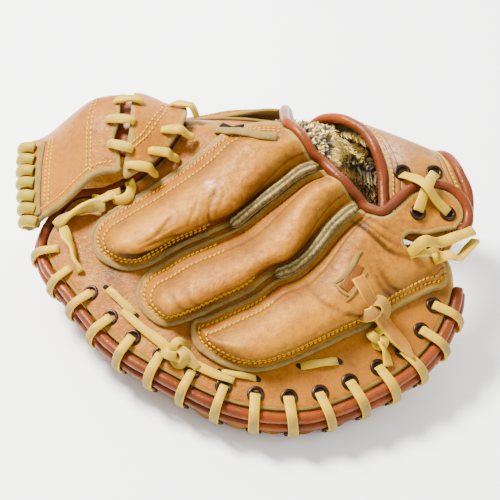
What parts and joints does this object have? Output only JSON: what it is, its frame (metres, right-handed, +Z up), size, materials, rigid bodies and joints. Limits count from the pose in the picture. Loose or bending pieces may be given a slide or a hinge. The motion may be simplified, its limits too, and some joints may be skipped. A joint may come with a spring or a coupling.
{
  "type": "catcher's mitt",
  "caption": "Padded leather catcher's mitt lying palm down: stitched finger stalls, laced rim and web, fleece-lined wrist strap and open hand cavity.",
  "frame": {"origin": "middle of the bottom of the bounding box, on the surface that the mitt rests on", "axes": "+X towards the wrist, -X towards the fingertips and the web, -Y towards the little-finger rim, +Z up from the surface, away from the palm"},
  "size_m": [0.3032, 0.244, 0.119],
  "materials": {
    "back_leather": "satin, creased",
    "palm_leather": "satin, worn",
    "strap_leather": "smooth satin",
    "piping_leather": "satin",
    "lace": "dull rawhide",
    "raw_leather": "raw fuzzy edge",
    "fleece": "matted fleece"
  },
  "bodies": {
    "root": {"back_fingers": "back_leather", "back_lace": "lace", "back_piping": "piping_leather", "back_thumb": "back_leather", "crotch_lace_01": "lace", "crotch_lace_02": "lace", "crotch_lace_03": "lace", "crotch_lace_04": "lace", "crotch_tongue": "back_leather", "finger_rim_lace_01": "lace", "finger_rim_lace_02": "lace", "finger_rim_lace_03": "lace", "finger_rim_lace_04": "lace", "finger_rim_lace_05": "lace", "finger_rim_lace_06": "lace", "finger_rim_lace_07": "lace", "finger_rim_lace_08": "lace", "finger_rim_lace_09": "lace", "finger_rim_lace_10": "lace", "finger_rim_lace_11": "lace", "finger_rim_lace_12": "lace", "finger_rim_lace_13": "lace", "finger_rim_lace_14": "lace", "finger_rim_lace_15": "lace", "finger_rim_lace_16": "lace", "finger_thong": "raw_leather", "index_stall": "back_leather", "index_welt": "raw_leather", "middle_stall": "back_leather", "middle_welt": "raw_leather", "palm_pad": "palm_leather", "palm_piping": "piping_leather", "ring_stall": "back_leather", "strap_far_piping": "piping_leather", "strap_fleece": "fleece", "strap_lace_01": "lace", "strap_lace_02": "lace", "strap_near_piping": "piping_leather", "strap_tail_01": "lace", "strap_tail_02": "lace", "thumb_rim_lace_01": "lace", "thumb_rim_lace_02": "lace", "thumb_rim_lace_03": "lace", "thumb_rim_lace_04": "lace", "thumb_rim_lace_05": "lace", "thumb_rim_lace_06": "lace", "thumb_rim_lace_07": "lace", "thumb_stall": "back_leather", "web_lace_01": "lace", "web_lace_02": "lace", "web_lace_03": "lace", "web_loop_01": "lace", "web_loop_02": "lace", "web_loop_03": "lace", "web_loop_04": "lace", "web_loop_05": "lace", "web_panel": "back_leather", "wrist_binding": "piping_leather", "wrist_strap": "strap_leather"}
  },
  "joints": []
}
